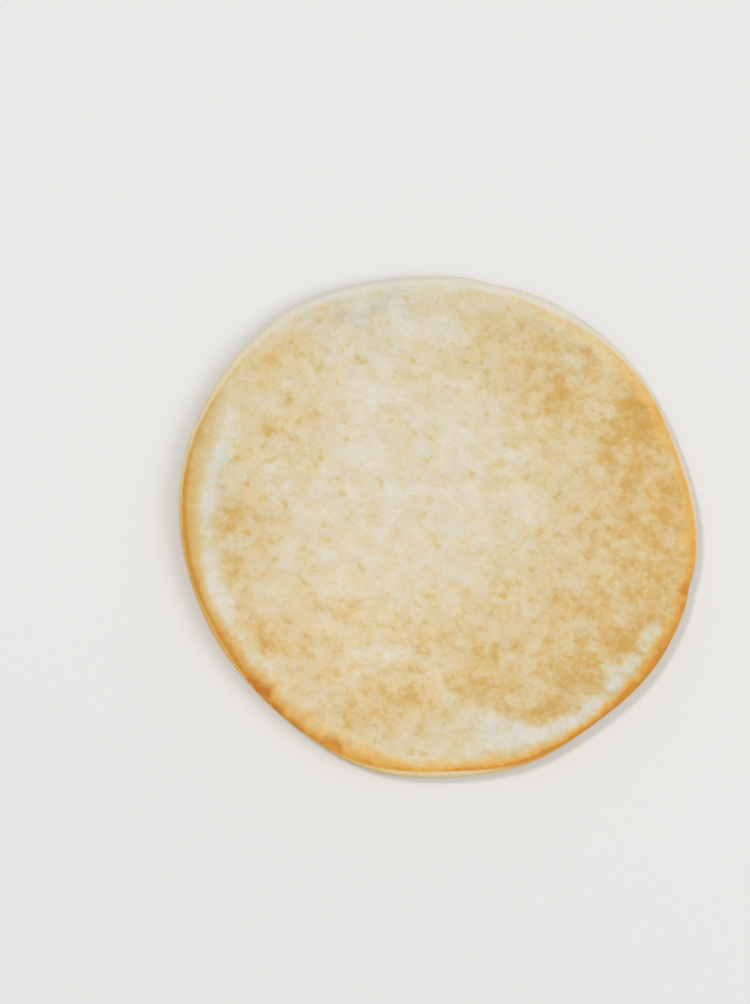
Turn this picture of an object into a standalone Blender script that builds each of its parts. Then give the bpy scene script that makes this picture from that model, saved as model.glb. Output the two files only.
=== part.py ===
"""Pita bread: one flat, round loaf, patted out by hand and baked until its face is mottled.

It is one solid of dough. From the table its edge swells out to a seam, then a pale side wall leans
in to a browned shoulder. Inside the shoulder runs a shallow gutter, where the risen face has sunk
back, and inside that lies the gently uneven face.

Metres, +Z up. The origin is on the table, under the middle of the loaf. A bearing is an angle in
degrees, counter-clockwise from +X. An inset is a distance in from the seam.
"""

import math

import bmesh
import bpy
from mathutils import Vector, noise

MM = 0.001

# Driving dimensions
MEAN_RADIUS = 83.3 * MM
FACE_HEIGHT = 6.5 * MM
FACE_DOME = 0.4 * MM  # how far the middle of the face stands above its border
SHOULDER_RISE = 0.7 * MM  # how far the shoulder stands above the face
SHOULDER_WIDTH = 4.5 * MM  # how far in from the wall it has mostly sunk to the face
SEAM_HEIGHT = 2.9 * MM  # where the edge reaches furthest out
FOOT_INSET = 3.6 * MM  # where the edge meets the table

# The side wall's width, seen from above: the least, and where it leans in further
LEAST_WALL = 1.0 * MM
WIDER_WALLS = (  # bearing, extra width, spread in degrees
    (72, 3.2 * MM, 46),
    (148, 0.8 * MM, 26),
    (-82, 1.7 * MM, 20),
)

# The gutter: how far it lies from the wall, how wide it is, and where it is deepest
GUTTER_DISTANCE = 9.5 * MM
GUTTER_WIDTH = 4.4 * MM
LEAST_GUTTER = 0.25 * MM
DEEPER_GUTTERS = (  # bearing, extra depth, spread in degrees
    (118, 0.35 * MM, 26),
    (188, 0.7 * MM, 42),
    (-52, 0.8 * MM, 34),
)

# The outline: broad lobes all the way round it, and single bulges and dents
LOBES = (  # lobes in a full turn, how far each stands out, bearing of one of them
    (2, 2.4 * MM, 159),
    (3, 0.9 * MM, 49),
    (5, 0.5 * MM, 11),
)
BULGES = (  # bearing, how far it stands out, spread in degrees
    (19, -2.5 * MM, 17),
    (77, -0.9 * MM, 6),
    (124, 3.1 * MM, 19),
    (-14, -0.7 * MM, 2.5),
    (-53, -3.0 * MM, 16),
    (-106, 3.1 * MM, 18),
)

# The unevenness: broad swells and smaller bumps of the face, and slow waves of the edge
SWELL_SIZE = 24 * MM
SWELL_HEIGHT = 0.5 * MM
BUMP_SIZE = 9 * MM
BUMP_HEIGHT = 0.28 * MM
EDGE_WAVE_SIZE = 26 * MM
EDGE_WAVE_HEIGHT = 0.5 * MM

# How finely the solid is faceted. A ring of the sheet has 8 more vertices than the ring inside it.
SHEET_RINGS = 21
BORDER_WIDTH = 16 * MM  # the part of the face, next to the wall, that has finer rings
BORDER_STEPS = 9
WALL_STEPS = 4
FOOT_STEPS = 4

CRUST_COLOUR = (0.78, 0.60, 0.34, 1.0)
CRUST_ROUGHNESS = 0.75


def clear_scene():
    for obj in list(bpy.data.objects):
        bpy.data.objects.remove(obj, do_unlink=True)


def hump(distance, spread):
    """1 at no distance, falling smoothly to nothing on both sides."""
    return math.exp(-((distance / spread) ** 2))


def around(bearing, places):
    """The sum of humps that stand at their own bearings round the loaf."""
    total = 0.0
    for middle, amount, spread in places:
        turned = (bearing - middle + 180) % 360 - 180
        total += amount * hump(turned, spread)
    return total


def bearing_of(point):
    return math.degrees(math.atan2(point.y, point.x))


def outline(bearing):
    """The seam's distance from the middle."""
    lobes = 0.0
    for count, reach, at in LOBES:
        lobes += reach * math.cos(math.radians(count * (bearing - at)))
    return MEAN_RADIUS + lobes + around(bearing, BULGES)


def wall_width(bearing):
    return LEAST_WALL + around(bearing, WIDER_WALLS)


def top_height(past_wall, bearing):
    """Height of the loaf's top, from the shoulder at the wall's upper edge in to the middle."""
    shoulder = SHOULDER_RISE * hump(past_wall, SHOULDER_WIDTH)
    gutter = LEAST_GUTTER + around(bearing, DEEPER_GUTTERS)
    sunk = gutter * hump(past_wall - GUTTER_DISTANCE, GUTTER_WIDTH)
    dome = FACE_DOME * math.sqrt(past_wall / MEAN_RADIUS)
    return FACE_HEIGHT + shoulder - sunk + dome


def edge_section(bearing):
    """The edge's section at a bearing: over the border and the shoulder, down the wall to the seam
    and in to the table, as (inset, height) pairs."""
    wall = wall_width(bearing)
    section = []
    for step in range(1, BORDER_STEPS):
        past_wall = BORDER_WIDTH * (1 - step / BORDER_STEPS)
        section.append((wall + past_wall, top_height(past_wall, bearing)))
    wall_height = top_height(0, bearing) - SEAM_HEIGHT
    for step in range(WALL_STEPS):
        turn = math.pi / 2 * step / WALL_STEPS
        section.append((wall * (1 - math.sin(turn)), SEAM_HEIGHT + wall_height * math.cos(turn)))
    for step in range(FOOT_STEPS + 1):
        turn = math.pi / 2 * step / FOOT_STEPS
        section.append((FOOT_INSET * (1 - math.cos(turn)), SEAM_HEIGHT * (1 - math.sin(turn))))
    return section


def place(vert, bearing, inset, height):
    distance = outline(bearing) - inset
    turn = math.radians(bearing)
    vert.co = (distance * math.cos(turn), distance * math.sin(turn), height)


def drawn_round(x, y):
    """The bearing of a point of the square sheet, once its square ring is drawn into a circle."""
    if abs(x) >= abs(y):
        return 45 * y / x + (0 if x > 0 else 180)
    return (90 if y > 0 else -90) - 45 * x / y


def draw_sheet(bm):
    """The face inside its border: a square sheet of quads whose rings are drawn into round ones,
    evenly spaced all the way to the middle."""
    bmesh.ops.create_grid(bm, x_segments=2 * SHEET_RINGS, y_segments=2 * SHEET_RINGS, size=1)
    for vert in bm.verts:
        x, y = vert.co.xy
        share = max(abs(x), abs(y))
        if share < 0.5 / SHEET_RINGS:
            vert.co = (0, 0, top_height(MEAN_RADIUS, 0))
            continue
        bearing = drawn_round(x, y)
        wall = wall_width(bearing)
        whole_face = outline(bearing) - wall
        past_wall = whole_face - (whole_face - BORDER_WIDTH) * share
        place(vert, bearing, wall + past_wall, top_height(past_wall, bearing))


def draw_edge(bm):
    """The sheet's rim is drawn out ring by ring along the edge's section, and the base closed."""
    rim = [edge for edge in bm.edges if edge.is_boundary]
    for ring in range(len(edge_section(0))):
        drawn = bmesh.ops.extrude_edge_only(bm, edges=rim)["geom"]
        rim = [item for item in drawn if isinstance(item, bmesh.types.BMEdge) and item.is_boundary]
        for vert in {vert for edge in rim for vert in edge.verts}:
            bearing = bearing_of(vert.co)
            place(vert, bearing, *edge_section(bearing)[ring])
    bmesh.ops.contextual_create(bm, geom=rim)


def uneven(bm):
    """Raises and sinks the top with swells and bumps, and the edge with slow waves."""
    for vert in bm.verts:
        across = Vector((vert.co.x, vert.co.y, 0))
        inset = outline(bearing_of(across)) - across.length
        top_share = max(0.0, (vert.co.z - SEAM_HEIGHT) / (FACE_HEIGHT - SEAM_HEIGHT))
        face_share = min(1.0, top_share) * (1 - hump(inset, GUTTER_DISTANCE))
        swell = SWELL_HEIGHT * noise.noise(across / SWELL_SIZE)
        bump = BUMP_HEIGHT * noise.noise(across / BUMP_SIZE)
        wave = EDGE_WAVE_HEIGHT * noise.noise(across / EDGE_WAVE_SIZE)
        edge_share = vert.co.z / FACE_HEIGHT * hump(inset, GUTTER_DISTANCE)
        vert.co.z += (swell + bump) * face_share + wave * edge_share


def centre_footprint(bm):
    """Moves the loaf so that the middle of its footprint's box is over the origin."""
    xs = [vert.co.x for vert in bm.verts]
    ys = [vert.co.y for vert in bm.verts]
    shift = Vector((min(xs) + max(xs), min(ys) + max(ys), 0)) / -2
    bmesh.ops.translate(bm, verts=bm.verts, vec=shift)


def crust_material():
    material = bpy.data.materials.new("baked_crust")
    material.use_nodes = True
    shader = material.node_tree.nodes["Principled BSDF"]
    shader.inputs["Base Color"].default_value = CRUST_COLOUR
    shader.inputs["Roughness"].default_value = CRUST_ROUGHNESS
    shader.inputs["Metallic"].default_value = 0.0
    return material


def pita_bread():
    bm = bmesh.new()
    draw_sheet(bm)
    draw_edge(bm)
    uneven(bm)
    centre_footprint(bm)
    bmesh.ops.recalc_face_normals(bm, faces=bm.faces)
    mesh = bpy.data.meshes.new("pita_bread")
    bm.to_mesh(mesh)
    bm.free()
    mesh.shade_smooth()
    mesh.materials.append(crust_material())
    obj = bpy.data.objects.new("pita_bread", mesh)
    bpy.context.scene.collection.objects.link(obj)


clear_scene()
pita_bread()
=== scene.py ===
import math

import bmesh
import bpy
from mathutils import Color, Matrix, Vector, noise


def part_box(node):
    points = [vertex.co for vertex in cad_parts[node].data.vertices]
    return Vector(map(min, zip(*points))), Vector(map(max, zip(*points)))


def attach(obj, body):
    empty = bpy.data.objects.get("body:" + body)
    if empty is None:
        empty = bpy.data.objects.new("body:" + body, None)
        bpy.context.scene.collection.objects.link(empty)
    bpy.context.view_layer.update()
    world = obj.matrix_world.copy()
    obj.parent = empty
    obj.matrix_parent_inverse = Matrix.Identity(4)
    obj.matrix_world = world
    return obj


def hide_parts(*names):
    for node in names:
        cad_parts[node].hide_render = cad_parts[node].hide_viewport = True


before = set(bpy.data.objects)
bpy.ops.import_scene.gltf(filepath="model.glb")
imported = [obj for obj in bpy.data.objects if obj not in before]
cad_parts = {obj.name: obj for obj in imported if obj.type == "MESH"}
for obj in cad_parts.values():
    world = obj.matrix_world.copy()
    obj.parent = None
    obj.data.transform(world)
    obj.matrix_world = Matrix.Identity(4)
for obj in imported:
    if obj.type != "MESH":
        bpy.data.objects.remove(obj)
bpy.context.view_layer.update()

# The loaf: one piece of wheat dough, patted out flat by hand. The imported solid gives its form. Here
# it gets an even, fine skin of its own, without the solid's flat facets, to take the crust's relief.
MM = 0.001
SKIN_GRAIN = 0.75 * MM

dough = bmesh.new()
dough.from_mesh(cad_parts["pita_bread"].data)
bmesh.ops.remove_doubles(dough, verts=dough.verts, dist=0.001 * MM)
loaf_mesh = bpy.data.meshes.new("loaf")
dough.to_mesh(loaf_mesh)
dough.free()
loaf = bpy.data.objects.new("loaf", loaf_mesh)
bpy.context.scene.collection.objects.link(loaf)

rounding = loaf.modifiers.new("rounding", "SUBSURF")
rounding.levels = 2
rounding.render_levels = 2
skin = loaf.modifiers.new("skin", "REMESH")
skin.mode = "VOXEL"
skin.voxel_size = SKIN_GRAIN
settling = loaf.modifiers.new("settling", "SMOOTH")
settling.factor = 0.5
settling.iterations = 3
loaf.data = bpy.data.meshes.new_from_object(
    loaf.evaluated_get(bpy.context.evaluated_depsgraph_get())
)
loaf.modifiers.clear()


# The loaf's own map. A place on the face is told by its bearing, in degrees counter-clockwise from
# +X, and by its inset, how far it lies in from the outline.
def bearing_of(place):
    return math.degrees(math.atan2(place.y, place.x))


reaches = [0.0] * 360
for vert in loaf.data.vertices:
    degree = round(bearing_of(vert.co)) % 360
    reaches[degree] = max(reaches[degree], vert.co.xy.length)


def outline(bearing):
    before = math.floor(bearing)
    share = bearing - before
    return reaches[before % 360] * (1 - share) + reaches[(before + 1) % 360] * share


def smooth_step(low, high, value):
    share = min(1.0, max(0.0, (value - low) / (high - low)))
    return share * share * (3 - 2 * share)


def hump(distance, spread):
    return math.exp(-((distance / spread) ** 2))


def ripple(place, size, layer):
    """Smooth noise from about -1 to 1 whose swells are about this far apart. Each layer of it is
    another pattern."""
    return 1.6 * noise.noise(Vector((place.x / size, place.y / size, place.z / size + 17 * layer)))


# The browning: how far the crust has baked, 0 where flour keeps it white and 1 where it is deep
# orange-brown. It is broad and weak across the face, and strong where the edge met the hot floor.
# Each patch is told by its middle and its half widths in mm, and fades out all round.
PLAIN_FACE = 0.13
BAKED_PATCHES = (  # x, y, half width, half depth, browning
    # broad shades
    (90, 6, 42, 62, 0.40),
    (55, -50, 34, 26, 0.16),
    (-8, -58, 68, 30, 0.26),
    (22, -21, 22, 9, 0.10),
    (-62, -10, 18, 34, 0.16),
    (-60, 48, 22, 20, 0.12),
    (32, 56, 20, 18, 0.18),
    (56, 15, 24, 36, 0.13),
    (30, 40, 18, 12, 0.05),
    (13, 76, 17, 6, 0.10),
    # spots, upper right
    (18, 63, 14, 8, 0.10),
    (50, 63, 5, 4, 0.06),
    (48, 58, 5, 4, 0.10),
    (10, 55, 9, 7, 0.05),
    (53, 52, 5, 4, 0.12),
    (58, 50, 4, 5, -0.08),
    (39, 46, 7, 12, 0.12),
    (60, 43, 6, 6, 0.08),
    (61, 43, 5, 6, 0.14),
    (68, 40, 9, 9, 0.08),
    (64, 36, 5, 5, 0.12),
    (68, 31, 10, 9, 0.24),
    (72, 21, 5, 9, -0.18),
    (48, 15, 8, 7, 0.05),
    (64, 14, 6, 7, 0.14),
    (75, 13, 4, 6, 0.10),
    # spots, upper left
    (-42, 65, 7, 4, 0.10),
    (-44, 64, 6, 3, 0.08),
    (-46, 60, 7, 3, 0.10),
    (-44, 60, 14, 10, 0.07),
    (-55, 54, 6, 6, 0.24),
    (-49, 49, 8, 5, -0.10),
    (-4, 47, 9, 8, 0.04),
    (-47, 43, 8, 7, 0.06),
    (-40, 38, 5, 7, 0.12),
    (-54, 32, 9, 8, 0.10),
    (-28, 12, 8, 6, 0.03),
    (-63, 11, 8, 8, 0.08),
    (-68, 5, 6, 5, 0.10),
    (-71, 3, 5, 6, 0.10),
    # spots, lower left
    (-63, -1, 9, 7, 0.14),
    (-50, -5, 6, 6, -0.08),
    (-31, -5, 5, 5, 0.06),
    (-19, -6, 6, 5, 0.05),
    (-69, -12, 3, 4, 0.06),
    (-69, -13, 6, 6, 0.08),
    (-65, -20, 4, 3, 0.08),
    (-28, -24, 7, 6, 0.05),
    (-32, -26, 7, 6, 0.08),
    (-33, -35, 7, 6, 0.05),
    (-53, -36, 10, 7, 0.16),
    (-43, -36, 8, 6, 0.07),
    (-47, -48, 9, 7, -0.10),
    (-9, -57, 7, 6, 0.12),
    (-28, -58, 8, 6, 0.14),
    (-40, -64, 6, 4, 0.08),
    (-2, -70, 12, 5, -0.14),
    # spots, lower right
    (68, -19, 7, 8, 0.12),
    (42, -27, 12, 5, 0.09),
    (69, -33, 6, 6, 0.10),
    (1, -35, 5, 5, 0.09),
    (60, -36, 7, 6, 0.14),
    (40, -44, 7, 6, 0.05),
    (14, -48, 5, 6, 0.10),
    (45, -48, 8, 8, 0.11),
    (0, -56, 6, 5, -0.08),
    (34, -57, 5, 4, 0.12),
    (44, -63, 5, 4, 0.12),
    (33, -65, 6, 4, 0.12),
    (26, -70, 10, 7, 0.12),
)
FLOURED_PATCHES = (  # x, y, half width, half depth, coverage
    (-10, 13, 16, 7, 0.35),
    (6, 33, 7, 16, 0.30),
    (-32, 73, 15, 8, 0.85),
    (-20, -41, 11, 6, 0.50),
    (22, -67, 20, 6, 0.85),
    (61, -48, 5, 6, 0.34),
    (51, -60, 9, 4, 0.32),
    (69, -37, 4, 5, 0.45),
    (65, -43, 4, 4, 0.30),
    (-41, -57, 5, 5, 0.60),
    (-54, -45, 6, 5, 0.40),
    (22, -32, 7, 6, 0.30),
    (19, -9, 7, 6, 0.20),
    (-67, 31, 6.5, 9, 0.60),
    (-70, 20, 4, 6, 0.35),
    (-71, -25, 5, 12, 0.65),
    (-50, 18, 8, 8, 0.25),
)
# Partly the dough's own hue and partly painted light and painted shade: lighter in some places,
# darker in others.
RUDDY_AND_SHADING_PATCHES = (  # x, y, half width, half depth, how ruddy and lighter, or how grey and darker where it is under 0
    (-25, -35, 34, 34, 0.9),
    (-22, 72, 28, 14, -1.2),
    (-78, 2, 10, 28, -1.0),
    (42, 60, 26, 14, -0.8),
    (28, -68, 20, 9, -0.8),
    (56, -55, 14, 12, -1.0),
    (72, -38, 8, 10, -1.0),
    (-74, 34, 8, 14, -1.0),
    (80, -5, 14, 30, 0.5),
)
GOLDEN_PATCHES = ((-50, 50, 30, 24, 1.0),)  # x, y, half width, half depth, how yellow

# The rim, told by bearing: each hump is its bearing, its amount and its spread in degrees. Outermost
# is the pale side wall, then the browned shoulder, and then the gutter, where flour has gathered.
PALE_WALL = 0.1  # its width in mm, seen from above
WIDER_PALE_WALLS = (
    (11, 1.25, 18),
    (42, 0.35, 10),
    (78, 3.6, 34),
    (122, 2.6, 22),
    (150, 1.4, 18),
    (177, 1.0, 14),
    (-153, 1.45, 16),
    (-92, 2.15, 23),
    (-82, 0.4, 9),
    (-64, 0.25, 8),
    (62, 0.35, 6),
    (74, -0.75, 7),
)
WALL_BROWNING = 0.03
BROWNER_WALLS = (
    (12, 0.11, 24),
    (150, 0.18, 18),
    (177, 0.22, 14),
    (-155, 0.72, 28),
    (-113, 0.45, 16),
    (-90, 0.15, 15),
    (-66, 0.60, 12),
    (-38, 0.34, 24),
)
RIM_BROWNING = 0.12  # just inside the wall
BROWNER_RIMS = (
    (-42, 1.04, 42),
    (-47, 0.05, 10),
    (-110, 0.08, 10),
    (-140, 0.89, 38),
    (-97, 0.22, 22),
    (174, 0.46, 24),
    (155, 0.08, 12),
    (8, 0.34, 22),
    (38, 0.07, 12),
    (29, 0.24, 12),
    (-70, 0.19, 11),
    (50, 0.26, 24),
    (135, 0.12, 22),
    (76, 0.10, 8),
    (-153, -0.09, 9),
    (-122, -0.08, 7),
)
# The oranger ramp is also lighter, so this is partly the rim's hue and partly painted light, lifting
# rims that slope into shade.
ORANGER_AND_LIGHTER_RIMS = (  # elsewhere it is golden
    (-85, 1.0, 36),
    (-128, 0.35, 24),
    (-175, 0.4, 20),
    (-10, 0.9, 34),
    (-50, 0.45, 20),
    (44, 1.0, 24),
)
SCORCHED_RIMS = (
    (-135, 0.8, 22),
    (-160, 0.3, 14),
    (-12, 0.3, 10),
)
SCORCHED_SPOTS = (  # x, y, half width, half depth, scorch
    (-57, -55, 5, 3.5, 1.3),
    (-33, -71, 6, 2.5, 1.0),
    (80, -22, 2.5, 4, 1.2),
)
DARK_LINES = (  # a browner line where the shoulder meets the wall
    (-90, 0.14, 24),
    (178, 0.28, 18),
    (-144, 0.18, 16),
    (20, 0.08, 16),
    (152, 0.12, 12),
)
COOLER_WALLS = ((100, 1.3, 40),)
WALL_SOFTNESS = 0.3  # how many mm the wall's border takes to fade
SOFTER_WALLS = (
    (112, 1.3, 28),
    (46, 0.6, 20),
    (-170, 0.3, 20),
    (10, 0.5, 18),
    (-72, 0.3, 14),
)
RIM_REACH = 4.8  # how far in from the wall, in mm, the rim's browning has faded away
LONGER_REACHES = (
    (-130, 3.4, 20),
    (-176, 1.0, 9),
    (-108, 2.0, 12),
    (-89, 0.2, 10),
    (-70, 0.3, 10),
    (-50, -1.0, 10),
    (-30, 3.0, 10),
    (-6, 1.0, 10),
    (-16, -0.9, 6),
    (163, 4.6, 20),
    (40, 1.2, 14),
    (14, -0.7, 10),
)
FLOURED_GUTTERS = (
    (-48, 0.50, 22),
    (-78, 0.35, 20),
    (-172, 0.55, 22),
    (160, 0.38, 16),
    (-106, 0.3, 14),
)
GUTTER_INSET = 6.3  # mm
FURTHER_GUTTERS = (
    (160, 4.4, 16),
    (-178, 1.6, 14),
    (-76, 3.4, 16),
    (-52, -1.2, 12),
    (-30, 2.0, 10),
)
GUTTER_WIDTH = 2.6  # mm


def around(bearing, humps):
    total = 0.0
    for middle, amount, spread in humps:
        turned = (bearing - middle + 180) % 360 - 180
        total += amount * hump(turned, spread)
    return total


def patches(x, y, places):
    total = 0.0
    for middle_x, middle_y, width, depth, amount in places:
        total += amount * hump(math.hypot((x - middle_x) / width, (y - middle_y) / depth), 1)
    return total


WANDER_SIZE = 14 * MM
WANDER = 2.5  # mm
FINE_WANDER_SIZE = 5 * MM
FINE_WANDER = 1.2  # mm


def wandering(place):
    """The place in mm, shifted by noise, so that the patches' borders wander."""
    x = place.x / MM + WANDER * ripple(place, WANDER_SIZE, 1)
    y = place.y / MM + WANDER * ripple(place, WANDER_SIZE, 2)
    x += FINE_WANDER * ripple(place, FINE_WANDER_SIZE, 3)
    y += FINE_WANDER * ripple(place, FINE_WANDER_SIZE, 4)
    return x, y


def wall_width(bearing):
    return PALE_WALL + around(bearing, WIDER_PALE_WALLS)


def gutter_flour(inset_mm, bearing):
    flour = around(bearing, FLOURED_GUTTERS)
    gutter = GUTTER_INSET + around(bearing, FURTHER_GUTTERS)
    return flour * hump(inset_mm - gutter, GUTTER_WIDTH)


# The creases: soft, shallow wrinkles of the skin by the upper left border.
CREASE_TAPER = 1.2  # over 1, a crease still has some of its depth at its ends
CREASES = (  # from x, y to x, y, half width, depth, all in mm
    (-36, 64, -12, 73, 1.3, 0.30),
    (-34, 61, -21, 65, 1.2, 0.20),
    (-25, 70, -6, 76, 1.1, 0.16),
    (-73, 14, -70, 3, 1.1, 0.22),
    (-71, 22, -74, 10, 1.0, 0.12),
)


def creased(x, y):
    """How deep the creases are at a point, in mm. Each fades out past both its ends."""
    total = 0.0
    for from_x, from_y, to_x, to_y, half_width, depth in CREASES:
        along_x = to_x - from_x
        along_y = to_y - from_y
        length = math.hypot(along_x, along_y)
        along = ((x - from_x) * along_x + (y - from_y) * along_y) / length
        aside = ((y - from_y) * along_x - (x - from_x) * along_y) / length
        past_end = abs(along - length / 2) / (length / 2)
        total += depth * hump(aside, half_width) * hump(past_end ** 2, CREASE_TAPER)
    return total


# The relief: shallow swells, and low blisters where the crust has baked.
SWELL_SIZE = 7 * MM
SWELL_HEIGHT = 0.10 * MM
BLISTER_SIZE = 3.2 * MM
BLISTER_HEIGHT = 0.16 * MM

# The edge's section, as the solid has it, and the underside, which is browned in patches of its own.
SEAM_HEIGHT = 2.9  # mm: where the edge reaches furthest out
FOOT_INSET = 3.6  # mm: where the edge meets the table
STEEP_HEIGHT = 5.5  # mm: under this the wall is steep, so height tells how far down it a place lies,
INSET_PER_DROP = 0.25  # and each mm further down takes this many mm off its inset
UNDERSIDE = -0.8  # a place whose normal's z is under this belongs to the underside
UNDERSIDE_BROWNING = 0.3
UNDERSIDE_PATCH_SIZE = 18 * MM
UNDERSIDE_PATCH_BROWNING = 0.25

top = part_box("pita_bread")[1].z
rows = []
shifts = []
for vert in loaf.data.vertices:
    place = vert.co
    bearing = bearing_of(place)
    inset_mm = max(0.0, outline(bearing) - place.xy.length) / MM
    height_mm = place.z / MM
    spot = wandering(place)
    baked = PLAIN_FACE + patches(*spot, BAKED_PATCHES)
    flour = patches(*spot, FLOURED_PATCHES) + gutter_flour(inset_mm, bearing)
    seen_inset = inset_mm if height_mm > SEAM_HEIGHT else 0.0
    drop = max(0.0, STEEP_HEIGHT - height_mm) * smooth_step(0.7, 0.3, vert.normal.z)
    past_wall = seen_inset - wall_width(bearing) - INSET_PER_DROP * drop
    if vert.normal.z < UNDERSIDE:
        patch = ripple(place, UNDERSIDE_PATCH_SIZE, 6)
        baked = UNDERSIDE_BROWNING + UNDERSIDE_PATCH_BROWNING * patch
        past_wall = inset_mm - FOOT_INSET
        flour = 0.0
    crease = creased(*spot)
    rows.append({
        "face_browning": baked,
        "flour": flour,
        "past_wall": past_wall,
        "wall_browning": WALL_BROWNING + around(bearing, BROWNER_WALLS),
        "rim_browning": RIM_BROWNING + around(bearing, BROWNER_RIMS),
        "rim_reach": RIM_REACH + around(bearing, LONGER_REACHES),
        "orange_and_painted_light": min(1.0, around(bearing, ORANGER_AND_LIGHTER_RIMS)),
        "dark_line": around(bearing, DARK_LINES),
        "scorch": around(bearing, SCORCHED_RIMS) + patches(*spot, SCORCHED_SPOTS),
        "wall_softness": WALL_SOFTNESS + around(bearing, SOFTER_WALLS),
        "warm_wall": 1 - min(1.0, around(bearing, COOLER_WALLS)),
        "ruddiness_and_painted_shading": patches(*spot, RUDDY_AND_SHADING_PATCHES),
        "crease": crease,
        "gold": patches(*spot, GOLDEN_PATCHES),
    })
    blister = max(0.0, ripple(place, BLISTER_SIZE, 7)) * BLISTER_HEIGHT
    swell = ripple(place, SWELL_SIZE, 8) * SWELL_HEIGHT
    on_face = smooth_step(0.2, 0.9, vert.normal.z)
    shifts.append((blister + swell - crease * MM) * on_face)
for vert, shift in zip(loaf.data.vertices, shifts):
    vert.co.z = max(0.0, min(top, vert.co.z + shift))
for name in rows[0]:
    layer = loaf.data.attributes.new(name, "FLOAT", "POINT")
    layer.data.foreach_set("value", [row[name] for row in rows])
loaf.data.shade_smooth()


# The crust's colours, each as it looks in plain light, from floured to deeply baked. The deepest
# tones are a little lighter than the crust's own: painted light for the rims' sloping edges, which
# fall into shade.
def pigment(red, green, blue):
    colour = Color((red / 255, green / 255, blue / 255)).from_srgb_to_scene_linear()
    return (colour.r, colour.g, colour.b, 1.0)


FACE_TONES = (  # browning, tone
    (-0.05, pigment(225, 219, 206)),
    (0.07, pigment(222, 213, 191)),
    (0.21, pigment(221, 205, 170)),
    (0.36, pigment(220, 197, 150)),
    (0.50, pigment(217, 187, 130)),
    (0.64, pigment(214, 178, 110)),
    (0.79, pigment(210, 167, 90)),
    (1.05, pigment(203, 149, 60)),
)
RIM_TONES = (
    (-0.05, pigment(229, 222, 209)),
    (0.07, pigment(227, 216, 193)),
    (0.21, pigment(228, 209, 171)),
    (0.36, pigment(229, 204, 150)),
    (0.60, pigment(227, 187, 115)),
    (0.79, pigment(226, 175, 90)),
    (0.93, pigment(222, 162, 70)),
    (1.07, pigment(213, 142, 50)),
)
SPECK_TONES = (
    (0.15, pigment(210, 183, 106)),
    (0.60, pigment(210, 164, 86)),
)
DARK_SPECK_TONE = pigment(168, 150, 96)
SCORCHED_TONE = pigment(194, 120, 36)

crust = bpy.data.materials.new("baked_crust")
crust.use_nodes = True
nodes = crust.node_tree.nodes
links = crust.node_tree.links
shader = nodes["Principled BSDF"]
shader.inputs["Roughness"].default_value = 0.72
shader.inputs["Specular IOR Level"].default_value = 0.3
shader.inputs["Subsurface Weight"].default_value = 0.12
shader.inputs["Subsurface Radius"].default_value = (1.0, 0.6, 0.3)
shader.inputs["Subsurface Scale"].default_value = 1.5 * MM

# All noise is turned, so that none lies square to the face, and is drawn out a little, as dough is.
place_node = nodes.new("ShaderNodeTexCoord")
turned_node = nodes.new("ShaderNodeMapping")
turned_node.vector_type = "TEXTURE"
turned_node.inputs["Rotation"].default_value = (0.5, 0.3, 2.9)
turned_node.inputs["Scale"].default_value = (1.06, 0.96, 1.0)
links.new(place_node.outputs["Object"], turned_node.inputs["Vector"])


def mark(name):
    node = nodes.new("ShaderNodeAttribute")
    node.attribute_name = name
    return node.outputs["Fac"]


def noise_node(size, detail=2, roughness=0.5):
    """Smooth noise from 0 to 1 whose swells are about this far apart."""
    texture = nodes.new("ShaderNodeTexNoise")
    texture.inputs["Scale"].default_value = 1 / size
    texture.inputs["Detail"].default_value = detail
    texture.inputs["Roughness"].default_value = roughness
    links.new(turned_node.outputs["Vector"], texture.inputs["Vector"])
    return texture.outputs["Fac"]


def cell_node(size, detail, roughness, smoothness):
    """Roundish spots with soft borders, each of its own random value from 0 to 1."""
    texture = nodes.new("ShaderNodeTexVoronoi")
    texture.feature = "SMOOTH_F1"
    texture.normalize = True
    texture.inputs["Scale"].default_value = 1 / size
    texture.inputs["Detail"].default_value = detail
    texture.inputs["Roughness"].default_value = roughness
    texture.inputs["Smoothness"].default_value = smoothness
    links.new(turned_node.outputs["Vector"], texture.inputs["Vector"])
    parts = nodes.new("ShaderNodeSeparateColor")
    links.new(texture.outputs["Color"], parts.inputs["Color"])
    return parts.outputs["Red"]


def math_node(operation, first, second=None, third=None):
    node = nodes.new("ShaderNodeMath")
    node.operation = operation
    for socket, value in zip(node.inputs, (first, second, third)):
        if isinstance(value, bpy.types.NodeSocket):
            links.new(value, socket)
        elif value is not None:
            socket.default_value = value
    return node.outputs[0]


def times(first, second):
    return math_node("MULTIPLY", first, second)


def times_plus(first, second, added):
    return math_node("MULTIPLY_ADD", first, second, added)


def less(first, second):
    return math_node("SUBTRACT", first, second)


def eased(value, low, high):
    """0 where the value is at low or beyond, 1 where it is at high or beyond, and eased between."""
    node = nodes.new("ShaderNodeMapRange")
    node.interpolation_type = "SMOOTHSTEP"
    node.inputs["From Min"].default_value = low
    node.inputs["From Max"].default_value = high
    links.new(value, node.inputs["Value"])
    return node.outputs["Result"]


def wavy(value, size, amount):
    """The value, shifted up and down by smooth noise of this size."""
    return times_plus(less(noise_node(size), 0.5), amount, value)


def mixed(share, first, second, kind="FLOAT"):
    node = nodes.new("ShaderNodeMix")
    node.data_type = kind
    ends = [socket for socket in node.inputs if socket.enabled]
    links.new(share, ends[0])
    for socket, value in zip(ends[1:], (first, second)):
        if isinstance(value, bpy.types.NodeSocket):
            links.new(value, socket)
        else:
            socket.default_value = value
    return [socket for socket in node.outputs if socket.enabled][0]


LEAST_BROWNING = -0.1
MOST_BROWNING = 1.25


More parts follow.
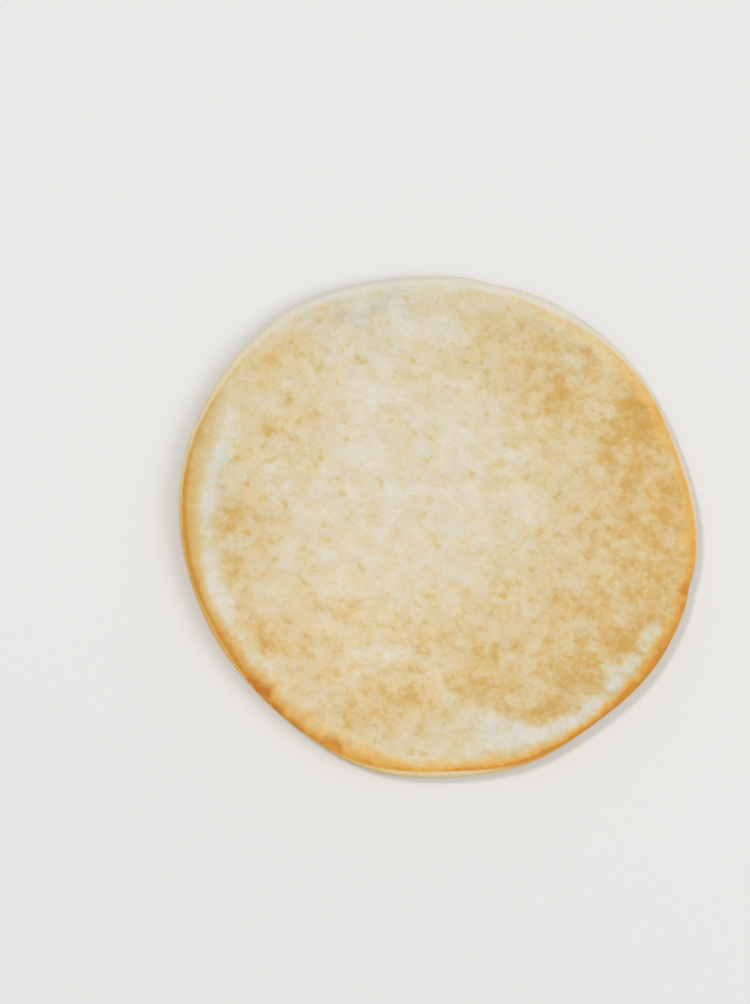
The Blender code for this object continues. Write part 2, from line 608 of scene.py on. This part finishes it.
def toned(browning, steps):
    """The colour of this browning, on a ramp through the given steps."""
    span = MOST_BROWNING - LEAST_BROWNING
    ramp = nodes.new("ShaderNodeValToRGB")
    points = ramp.color_ramp.elements
    while len(points) < len(steps):
        points.new(0.5)
    for point, (level, colour) in zip(points, steps):
        point.position = (level - LEAST_BROWNING) / span
        point.color = colour
    links.new(math_node("DIVIDE", less(browning, LEAST_BROWNING), span), ramp.inputs["Fac"])
    return ramp.outputs["Color"]


# The mottling: a soft mosaic of lighter and darker spots over broader clouds, with a fine grain. It
# is stronger where the crust has baked more, and itself stronger in some places than in others.
PLAIN_CONTRAST = 0.54
BAKED_CONTRAST = 1.35  # how much is added where the browning is 1
CLOUD_SIZE = 9 * MM
CLOUD_DEPTH = 0.46
MOSAIC_SIZE = 3.6 * MM
MOSAIC_DEPTH = 0.43
FEWER_DARK = 1.2  # over 1, dark spots are fewer than light ones
MOSAIC_MEAN = 0.44
GRAIN_SIZE = 1.0 * MM
GRAIN_DEPTH = 0.09

face_browning = mark("face_browning")
contrast = times_plus(face_browning, BAKED_CONTRAST, PLAIN_CONTRAST)
contrast = wavy(contrast, size=13 * MM, amount=0.8)
clouds = less(noise_node(CLOUD_SIZE, roughness=0.6), 0.5)
mosaic = cell_node(MOSAIC_SIZE, detail=2, roughness=0.6, smoothness=0.75)
mosaic = less(math_node("POWER", mosaic, FEWER_DARK), MOSAIC_MEAN)
grain = less(noise_node(GRAIN_SIZE, roughness=0.6), 0.5)
mottle = times_plus(mosaic, MOSAIC_DEPTH, times(clouds, CLOUD_DEPTH))
mottle = times_plus(grain, GRAIN_DEPTH, mottle)
mottle = times(mottle, contrast)

# The flour: it keeps the crust nearly white, and covers most of the mottling.
FLOUR_STRENGTH = 0.40
FLOUR_COVER = 0.95
FLOUR_BROWNING = 0.03
FLOUR_MOTTLING = 0.7

floured = wavy(times(mark("flour"), FLOUR_STRENGTH), size=5 * MM, amount=0.42)
flour_share = times(eased(floured, low=0.03, high=0.37), FLOUR_COVER)
face = math_node("ADD", mottle, face_browning)
face = mixed(flour_share, face, times_plus(mottle, FLOUR_MOTTLING, FLOUR_BROWNING))
face_tone = toned(face, FACE_TONES)

# The specks: golden ones, more of them where the crust is browner, and a few fine dark ones.
SPECK_SIZE = 3.2 * MM
SPECK_COVER = 0.80
SPECKS_WITH_BROWNING = 0.32
DARK_SPECK_SIZE = 1.4 * MM
DARK_SPECK_COVER = 0.14

many = times_plus(face, SPECKS_WITH_BROWNING, noise_node(SPECK_SIZE))
speck_share = times(eased(many, low=0.60, high=0.90), SPECK_COVER)
face_tone = mixed(speck_share, face_tone, toned(face, SPECK_TONES), "RGBA")
dark_specks = eased(noise_node(DARK_SPECK_SIZE, detail=1, roughness=0.4), low=0.64, high=0.86)
face_tone = mixed(times(dark_specks, DARK_SPECK_COVER), face_tone, DARK_SPECK_TONE, "RGBA")

# The rim: its browning fades in towards the face along a ragged border. It has a browner line by
# the wall, and is scorched in places.
FULL_RIM = 0.16  # the share of its reach over which the rim is browned in full
RIM_FADE = 1.25  # over 1, it fades fast at first and then slowly
DARK_LINE_INSET = 0.6  # mm in from the wall
SCORCH_SIZE = 4.5 * MM

reach = wavy(mark("rim_reach"), size=6 * MM, amount=7.0)
reach = wavy(reach, size=2 * MM, amount=3.0)
rim_fade = nodes.new("ShaderNodeMapRange")
links.new(math_node("DIVIDE", mark("past_wall"), reach), rim_fade.inputs["Value"])
rim_fade.inputs["From Min"].default_value = 1.0
rim_fade.inputs["From Max"].default_value = FULL_RIM
rim_share = math_node("POWER", rim_fade.outputs["Result"], RIM_FADE)
off_line = math_node("ABSOLUTE", less(mark("past_wall"), DARK_LINE_INSET))
line_share = eased(off_line, low=1.4, high=0.2)
rim = wavy(mark("rim_browning"), size=7 * MM, amount=0.6)
rim = wavy(rim, size=2.2 * MM, amount=0.4)
rim = times_plus(line_share, mark("dark_line"), rim)
baked = mixed(rim_share, face, rim)
# Where the rim is oranger it is also lighter: partly its hue and partly painted light on its sloping
# edge.
rim_tone = mixed(mark("orange_and_painted_light"), toned(baked, FACE_TONES), toned(baked, RIM_TONES), "RGBA")
crust_tone = mixed(eased(rim_share, low=0.0, high=0.35), face_tone, rim_tone, "RGBA")
scorched = eased(noise_node(SCORCH_SIZE, detail=1), low=0.30, high=0.78)
scorched = times(scorched, times(rim_share, mark("scorch")))
crust_tone = mixed(scorched, crust_tone, SCORCHED_TONE, "RGBA")

# The side wall: pale, as the hot floor didn't reach it. Its border is sharp or soft.
WALL_MOTTLING = 0.3

border = wavy(mark("past_wall"), size=3 * MM, amount=0.8)
wall_share = eased(math_node("DIVIDE", border, mark("wall_softness")), low=1.0, high=-0.8)
wall = times_plus(mottle, WALL_MOTTLING, mark("wall_browning"))
wall_tone = mixed(mark("warm_wall"), toned(wall, FACE_TONES), toned(wall, RIM_TONES), "RGBA")
crust_tone = mixed(wall_share, crust_tone, wall_tone, "RGBA")

# The tint: the dough is a little ruddier and lighter in some places and greyer and darker in
# others, partly its own hue and partly painted light and painted shade. Where it is pale, its
# darker spots are yellow, all of it is finely uneven, and the creases have painted shade.
YELLOW_WHERE_PALE = 13.0
YELLOW_WHERE_GOLD = 7.0
FLECK_SIZE = 0.9 * MM
FLECK_DEPTH = 0.17
CREASE_SHADE = 0.22
RUDDY_AND_SHADING_RED = 0.05
RUDDY_AND_SHADING_GREEN = 0.028
YELLOW_SHIFT = 0.015  # less red and more green

# Partly hue and partly painted light and painted shade: ruddier and lighter over 0, greyer and darker
# under 0.
ruddy_and_shading = wavy(mark("ruddiness_and_painted_shading"), size=6 * MM, amount=2.8)
ruddy_and_shading = wavy(ruddy_and_shading, size=1.5 * MM, amount=2.0)
pale = eased(face_browning, low=0.50, high=0.0)
yellowness = times_plus(mark("gold"), YELLOW_WHERE_GOLD, times(pale, YELLOW_WHERE_PALE))
yellow = times(math_node("MAXIMUM", mottle, 0.0), yellowness)
yellow = wavy(yellow, size=3.5 * MM, amount=2.8)
flecks = times(less(noise_node(FLECK_SIZE, roughness=0.7), 0.5), contrast)
light = times_plus(flecks, FLECK_DEPTH, 1.0)
# Painted shade: the crust is darker in the creases.
light = times_plus(mark("crease"), -CREASE_SHADE, light)
tint = nodes.new("ShaderNodeCombineColor")
red = times_plus(ruddy_and_shading, RUDDY_AND_SHADING_RED, times_plus(yellow, -YELLOW_SHIFT, light))
green = times_plus(ruddy_and_shading, RUDDY_AND_SHADING_GREEN, times_plus(yellow, YELLOW_SHIFT, light))
links.new(red, tint.inputs["Red"])
links.new(green, tint.inputs["Green"])
links.new(light, tint.inputs["Blue"])
tinted = nodes.new("ShaderNodeVectorMath")
tinted.operation = "MULTIPLY"
links.new(crust_tone, tinted.inputs[0])
links.new(tint.outputs["Color"], tinted.inputs[1])
links.new(tinted.outputs["Vector"], shader.inputs["Base Color"])

# The crust's finest roughness, too small to be in the skin itself.
bump = nodes.new("ShaderNodeBump")
bump.inputs["Strength"].default_value = 0.28
bump.inputs["Distance"].default_value = 0.25 * MM
links.new(noise_node(1.6 * MM, detail=4, roughness=0.6), bump.inputs["Height"])
links.new(bump.outputs["Normal"], shader.inputs["Normal"])
loaf.data.materials.clear()
loaf.data.materials.append(crust)

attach(loaf, "root")
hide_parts("pita_bread")

# The floor: a plain pale sheet under the loaf, 6 m across.
floor_form = bmesh.new()
bmesh.ops.create_grid(floor_form, x_segments=1, y_segments=1, size=3)
floor_mesh = bpy.data.meshes.new("floor")
floor_form.to_mesh(floor_mesh)
floor_form.free()
floor = bpy.data.objects.new("floor", floor_mesh)
bpy.context.scene.collection.objects.link(floor)
floor_finish = bpy.data.materials.new("pale_floor")
floor_finish.use_nodes = True
floor_shader = floor_finish.node_tree.nodes["Principled BSDF"]
floor_shader.inputs["Base Color"].default_value = pigment(232, 231, 229)
floor_shader.inputs["Roughness"].default_value = 0.9
floor_mesh.materials.append(floor_finish)

# The camera looks straight down. The loaf's middle lies right of the picture's, and below it.
PICTURE_WIDTH = 750  # pixels, as are the next three
PICTURE_HEIGHT = 1004
LOAF_MIDDLE = (438.0, 527.0)
LOAF_WIDTH = 518.7
CAMERA_LENS = 80.0  # mm, as is the sensor
CAMERA_SENSOR = 36.0

box_low, box_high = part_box("pita_bread")
pixel = (box_high.x - box_low.x) / LOAF_WIDTH
camera_data = bpy.data.cameras.new("camera")
camera_data.lens = CAMERA_LENS
camera_data.sensor_width = CAMERA_SENSOR
camera = bpy.data.objects.new("camera", camera_data)
camera.location = (
    (PICTURE_WIDTH / 2 - LOAF_MIDDLE[0]) * pixel,
    (LOAF_MIDDLE[1] - PICTURE_HEIGHT / 2) * pixel,
    SEAM_HEIGHT * MM + PICTURE_HEIGHT * pixel * CAMERA_LENS / CAMERA_SENSOR,
)
bpy.context.scene.collection.objects.link(camera)
bpy.context.scene.camera = camera


# The light: a broad lamp beyond the picture's upper left corner, and an even, soft fill.
def lamp(name, place, size, power):
    data = bpy.data.lights.new(name, "AREA")
    data.shape = "DISK"
    data.size = size
    data.energy = power
    light = bpy.data.objects.new(name, data)
    light.location = place
    light.rotation_euler = (-Vector(place)).to_track_quat("-Z", "Y").to_euler()
    bpy.context.scene.collection.objects.link(light)


lamp("key_lamp", place=(-1.16, 1.16, 2.63), size=0.55, power=26)
lamp("fill_lamp", place=(2.1, -0.2, 2.2), size=1.8, power=24)
world = bpy.data.worlds.new("studio")
world.use_nodes = True
world.node_tree.nodes["Background"].inputs["Color"].default_value = (1.0, 1.0, 1.0, 1.0)
world.node_tree.nodes["Background"].inputs["Strength"].default_value = 0.60
bpy.context.scene.world = world
bpy.context.scene.view_settings.view_transform = "Standard"
